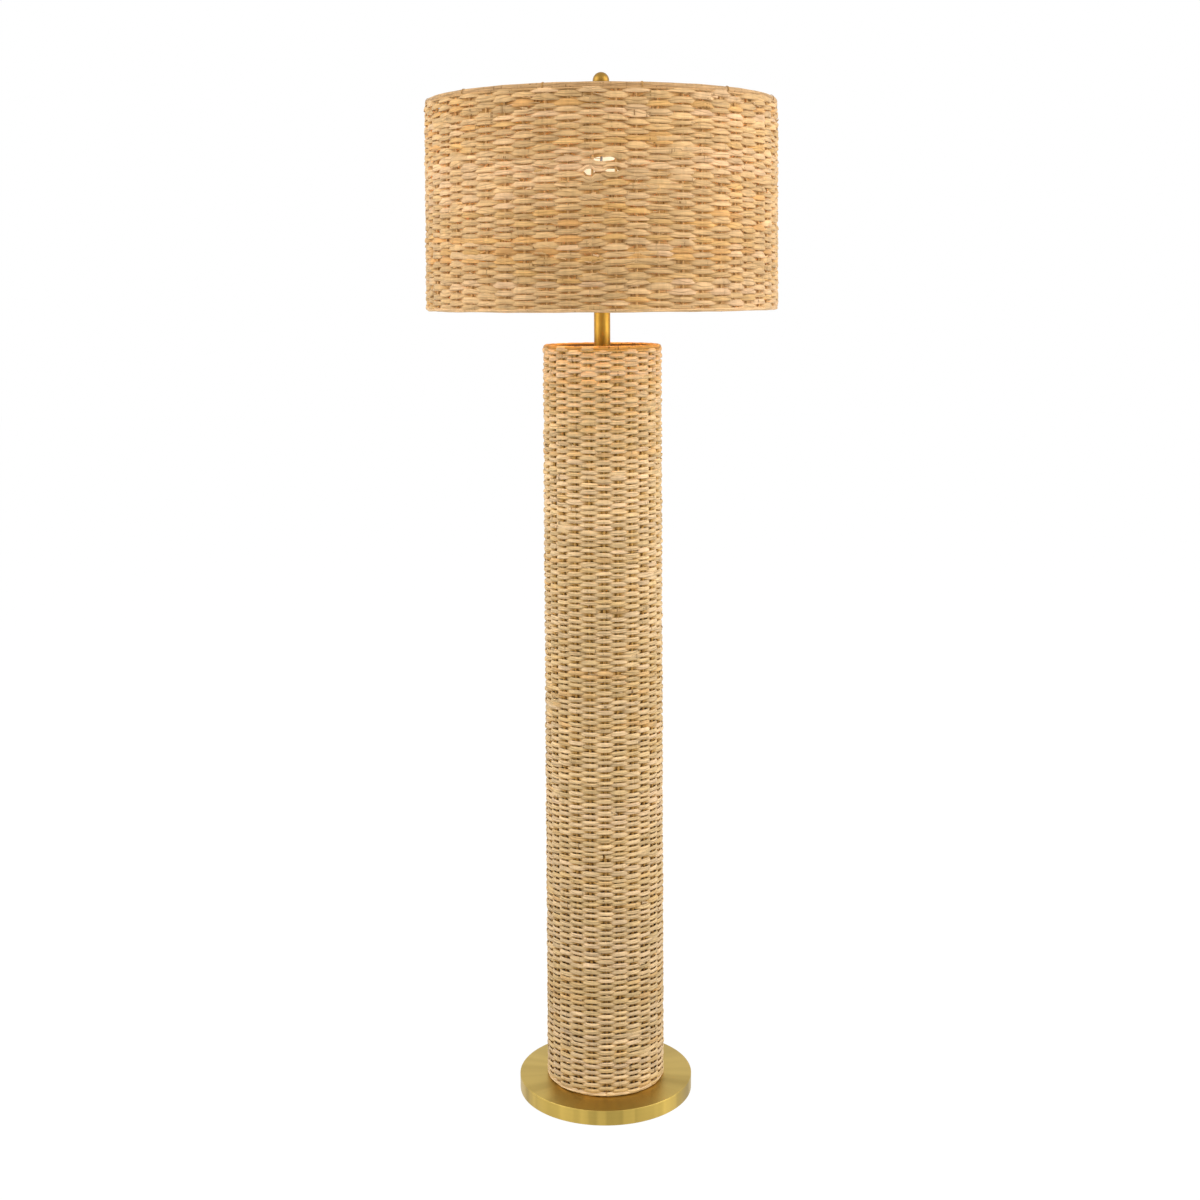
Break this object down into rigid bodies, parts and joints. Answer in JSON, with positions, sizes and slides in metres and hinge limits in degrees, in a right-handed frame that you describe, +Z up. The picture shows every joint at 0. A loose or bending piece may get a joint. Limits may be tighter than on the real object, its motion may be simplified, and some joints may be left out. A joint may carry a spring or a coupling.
{
  "type": "floor lamp",
  "caption": "Rattan floor lamp with a round brass base, woven cylindrical column, brass neck, turn-knob socket, harp and woven drum shade with a ball finial.",
  "frame": {"origin": "on the floor, on the lamp's axis", "axes": "+Z up along the column, -Y to the front where the switch knob points, +Y to the rear where the lead's bushing is"},
  "size_m": [0.5174, 0.5174, 1.5669],
  "materials": {
    "brass": "satin brushed brass",
    "steel": "plain zinc-plated steel",
    "iron": "rough as cast, black paint",
    "felt": "brown felt",
    "black_plastic": "matte moulded",
    "column_rattan": "woven natural rattan, light tan",
    "shade_rattan": "woven natural rattan, warm tan",
    "rattan_stake": "round natural rattan core",
    "cardboard": "plain insulating board",
    "aluminium": "satin",
    "lead_sheath": "smooth vinyl",
    "bulb_glass": "frosted",
    "filament": "matte"
  },
  "bodies": {
    "root": {"base_cover": "brass", "base_nut": "brass", "foot_nut": "brass", "cap_nut": "brass", "column_cap": "brass", "neck_seat_ring": "brass", "neck_tube": "brass", "neck_collar": "brass", "socket_cap": "brass", "socket_shell": "brass", "center_contact": "brass", "terminal_screw_1": "brass", "base_washer": "steel", "stem_pipe": "steel", "column_foot_plate": "steel", "harp_saddle": "steel", "harp": "steel", "terminal_screw_2": "steel", "base_weight": "iron", "base_pad": "felt", "cord_bushing": "black_plastic", "socket_core": "black_plastic", "column_weave": "column_rattan", "column_top_band": "column_rattan", "column_bottom_band": "column_rattan", "column_stakes": "rattan_stake", "socket_liner": "cardboard", "screw_shell": "aluminium", "inner_lead": "lead_sheath"},
    "shade": {"shade_spider": "brass", "shade_cage": "steel", "shade_stakes": "rattan_stake", "shade_weave": "shade_rattan", "shade_top_band": "shade_rattan", "shade_bottom_band": "shade_rattan"},
    "finial": {"finial": "brass"},
    "bulb": {"bulb_contact": "brass", "bulb_cap": "aluminium", "bulb_glass": "bulb_glass", "bulb_stem": "filament"},
    "switch": {"switch_shaft": "brass", "switch_knob": "black_plastic"},
    "sleeve_left": {"harp_sleeve_left": "brass"},
    "sleeve_right": {"harp_sleeve_right": "brass"}
  },
  "joints": [
    {"name": "shade_lift", "type": "slide", "parent": "root", "child": "shade", "axis": [0, 0, 1], "range_m": [0, 0.32]},
    {"name": "finial_turn", "type": "hinge", "parent": "shade", "child": "finial", "pos_m": [0, 0, 1.53], "axis": [0, 0, 1], "continuous": true},
    {"name": "bulb_unscrew", "type": "hinge", "parent": "root", "child": "bulb", "pos_m": [0, 0, 1.35], "axis": [0, 0, 1], "continuous": true},
    {"name": "switch_turn", "type": "hinge", "parent": "root", "child": "switch", "pos_m": [0, -0.03, 1.3254], "axis": [0, -1, 0], "continuous": true},
    {"name": "sleeve_left_lift", "type": "slide", "parent": "root", "child": "sleeve_left", "axis": [0, 0, 1], "range_m": [0, 0.012]},
    {"name": "sleeve_right_lift", "type": "slide", "parent": "root", "child": "sleeve_right", "axis": [0, 0, 1], "range_m": [0, 0.012]}
  ]
}
